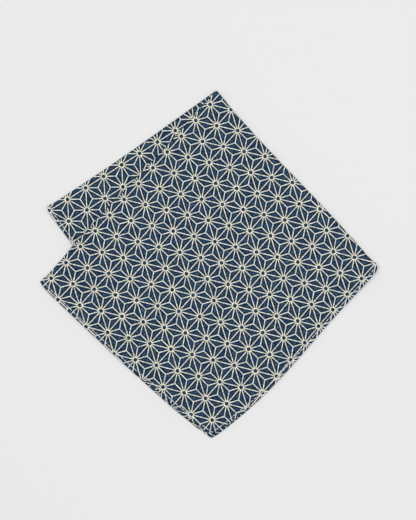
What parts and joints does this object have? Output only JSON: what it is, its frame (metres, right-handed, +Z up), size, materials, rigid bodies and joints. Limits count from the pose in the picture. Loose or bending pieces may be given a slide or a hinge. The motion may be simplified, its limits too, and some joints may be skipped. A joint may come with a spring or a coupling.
{
  "type": "folded pocket square",
  "caption": "Woven cotton square with stitched hems, printed with a navy and cream hemp-leaf star repeat, folded in half and then slightly askew again, lying flat.",
  "frame": {"origin": "centre of the folded cloth's box, on the surface that it lies on", "axes": "+Z up, away from the surface; +Y towards the corner where both folds meet; +X towards the corner at the far end of the second fold"},
  "size_m": [0.2384, 0.245, 0.0059],
  "materials": {
    "printed_cotton": "plain-weave cotton, printed with cream lines on a navy ground, matt"
  },
  "bodies": {
    "root": {"pocket_square": "printed_cotton"}
  },
  "joints": []
}
